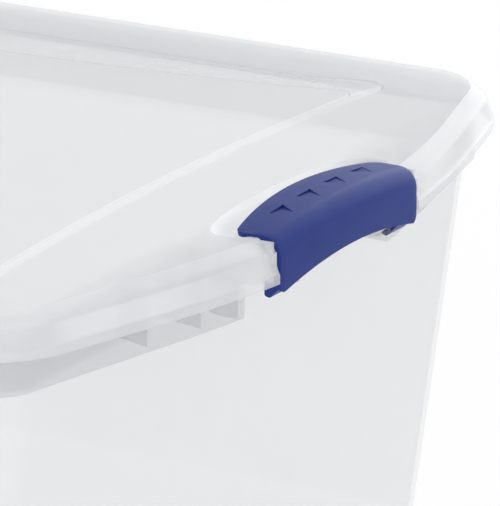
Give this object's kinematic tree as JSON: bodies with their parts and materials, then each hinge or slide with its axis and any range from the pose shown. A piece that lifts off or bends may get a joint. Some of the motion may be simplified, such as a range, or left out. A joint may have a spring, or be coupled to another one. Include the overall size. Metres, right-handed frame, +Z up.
{
  "type": "under bed storage box",
  "caption": "Shallow clear plastic storage box with a tapered tub, a lift-off lid with bowed ends, and an arched blue latch hinged to the tub at each end.",
  "frame": {"origin": "on the floor under the middle of the box", "axes": "+X along the length towards the right-hand latch, +Y across the width, +Z up"},
  "size_m": [0.594, 0.43, 0.2076],
  "materials": {
    "clear_polypropylene_tub": "clear, slightly milky moulded polypropylene, smooth",
    "clear_polypropylene_lid": "clear, slightly milky moulded polypropylene, smooth",
    "blue_polypropylene": "dark blue moulded polypropylene, satin"
  },
  "bodies": {
    "tub": {"tub": "clear_polypropylene_tub"},
    "lid": {"lid": "clear_polypropylene_lid"},
    "latch_right": {"latch_right": "blue_polypropylene"},
    "latch_left": {"latch_left": "blue_polypropylene"}
  },
  "joints": [
    {"name": "lid_lift", "type": "slide", "parent": "tub", "child": "lid", "axis": [0, 0, 1], "range_m": [0, 0.021]},
    {"name": "latch_right_swing", "type": "hinge", "parent": "tub", "child": "latch_right", "pos_m": [0.29, 0, 0.1805], "axis": [0, 1, 0], "range_deg": [0, 150]},
    {"name": "latch_left_swing", "type": "hinge", "parent": "tub", "child": "latch_left", "pos_m": [-0.29, 0, 0.1805], "axis": [0, -1, 0], "range_deg": [0, 150]}
  ],
  "couplings": [
    {"joint": "latch_right_swing", "follows": "lid_lift", "rad_per_m": 124.6},
    {"joint": "latch_left_swing", "follows": "lid_lift", "rad_per_m": 124.6}
  ]
}
